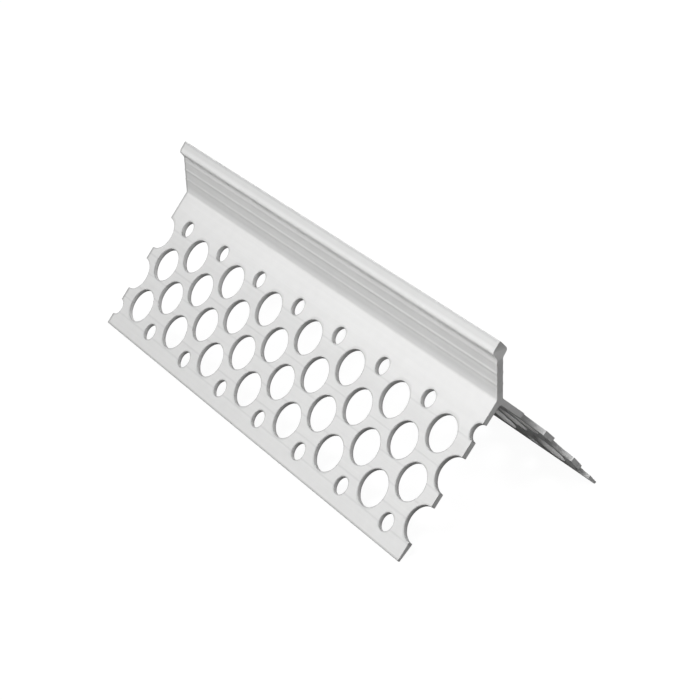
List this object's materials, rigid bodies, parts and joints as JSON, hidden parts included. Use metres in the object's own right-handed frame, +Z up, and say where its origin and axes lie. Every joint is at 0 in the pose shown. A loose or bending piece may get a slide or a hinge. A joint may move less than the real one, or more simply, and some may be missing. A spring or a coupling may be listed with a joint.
{
  "type": "render corner bead",
  "caption": "Perforated PVC corner bead for render and plaster: two punched wings just under a right angle and a thin upright nose with an arrow-shaped ridge.",
  "frame": {"origin": "on the floor that the wings' outer edges stand on, under the middle of the bead", "axes": "+X along the bead, +Z up the nose, +Y across the bead towards one wing"},
  "size_m": [0.135, 0.0534, 0.0443],
  "materials": {
    "white_pvc": "smooth white extruded PVC-U with a satin sheen and faint die lines along the bead"
  },
  "bodies": {
    "root": {"corner_bead": "white_pvc"}
  },
  "joints": []
}
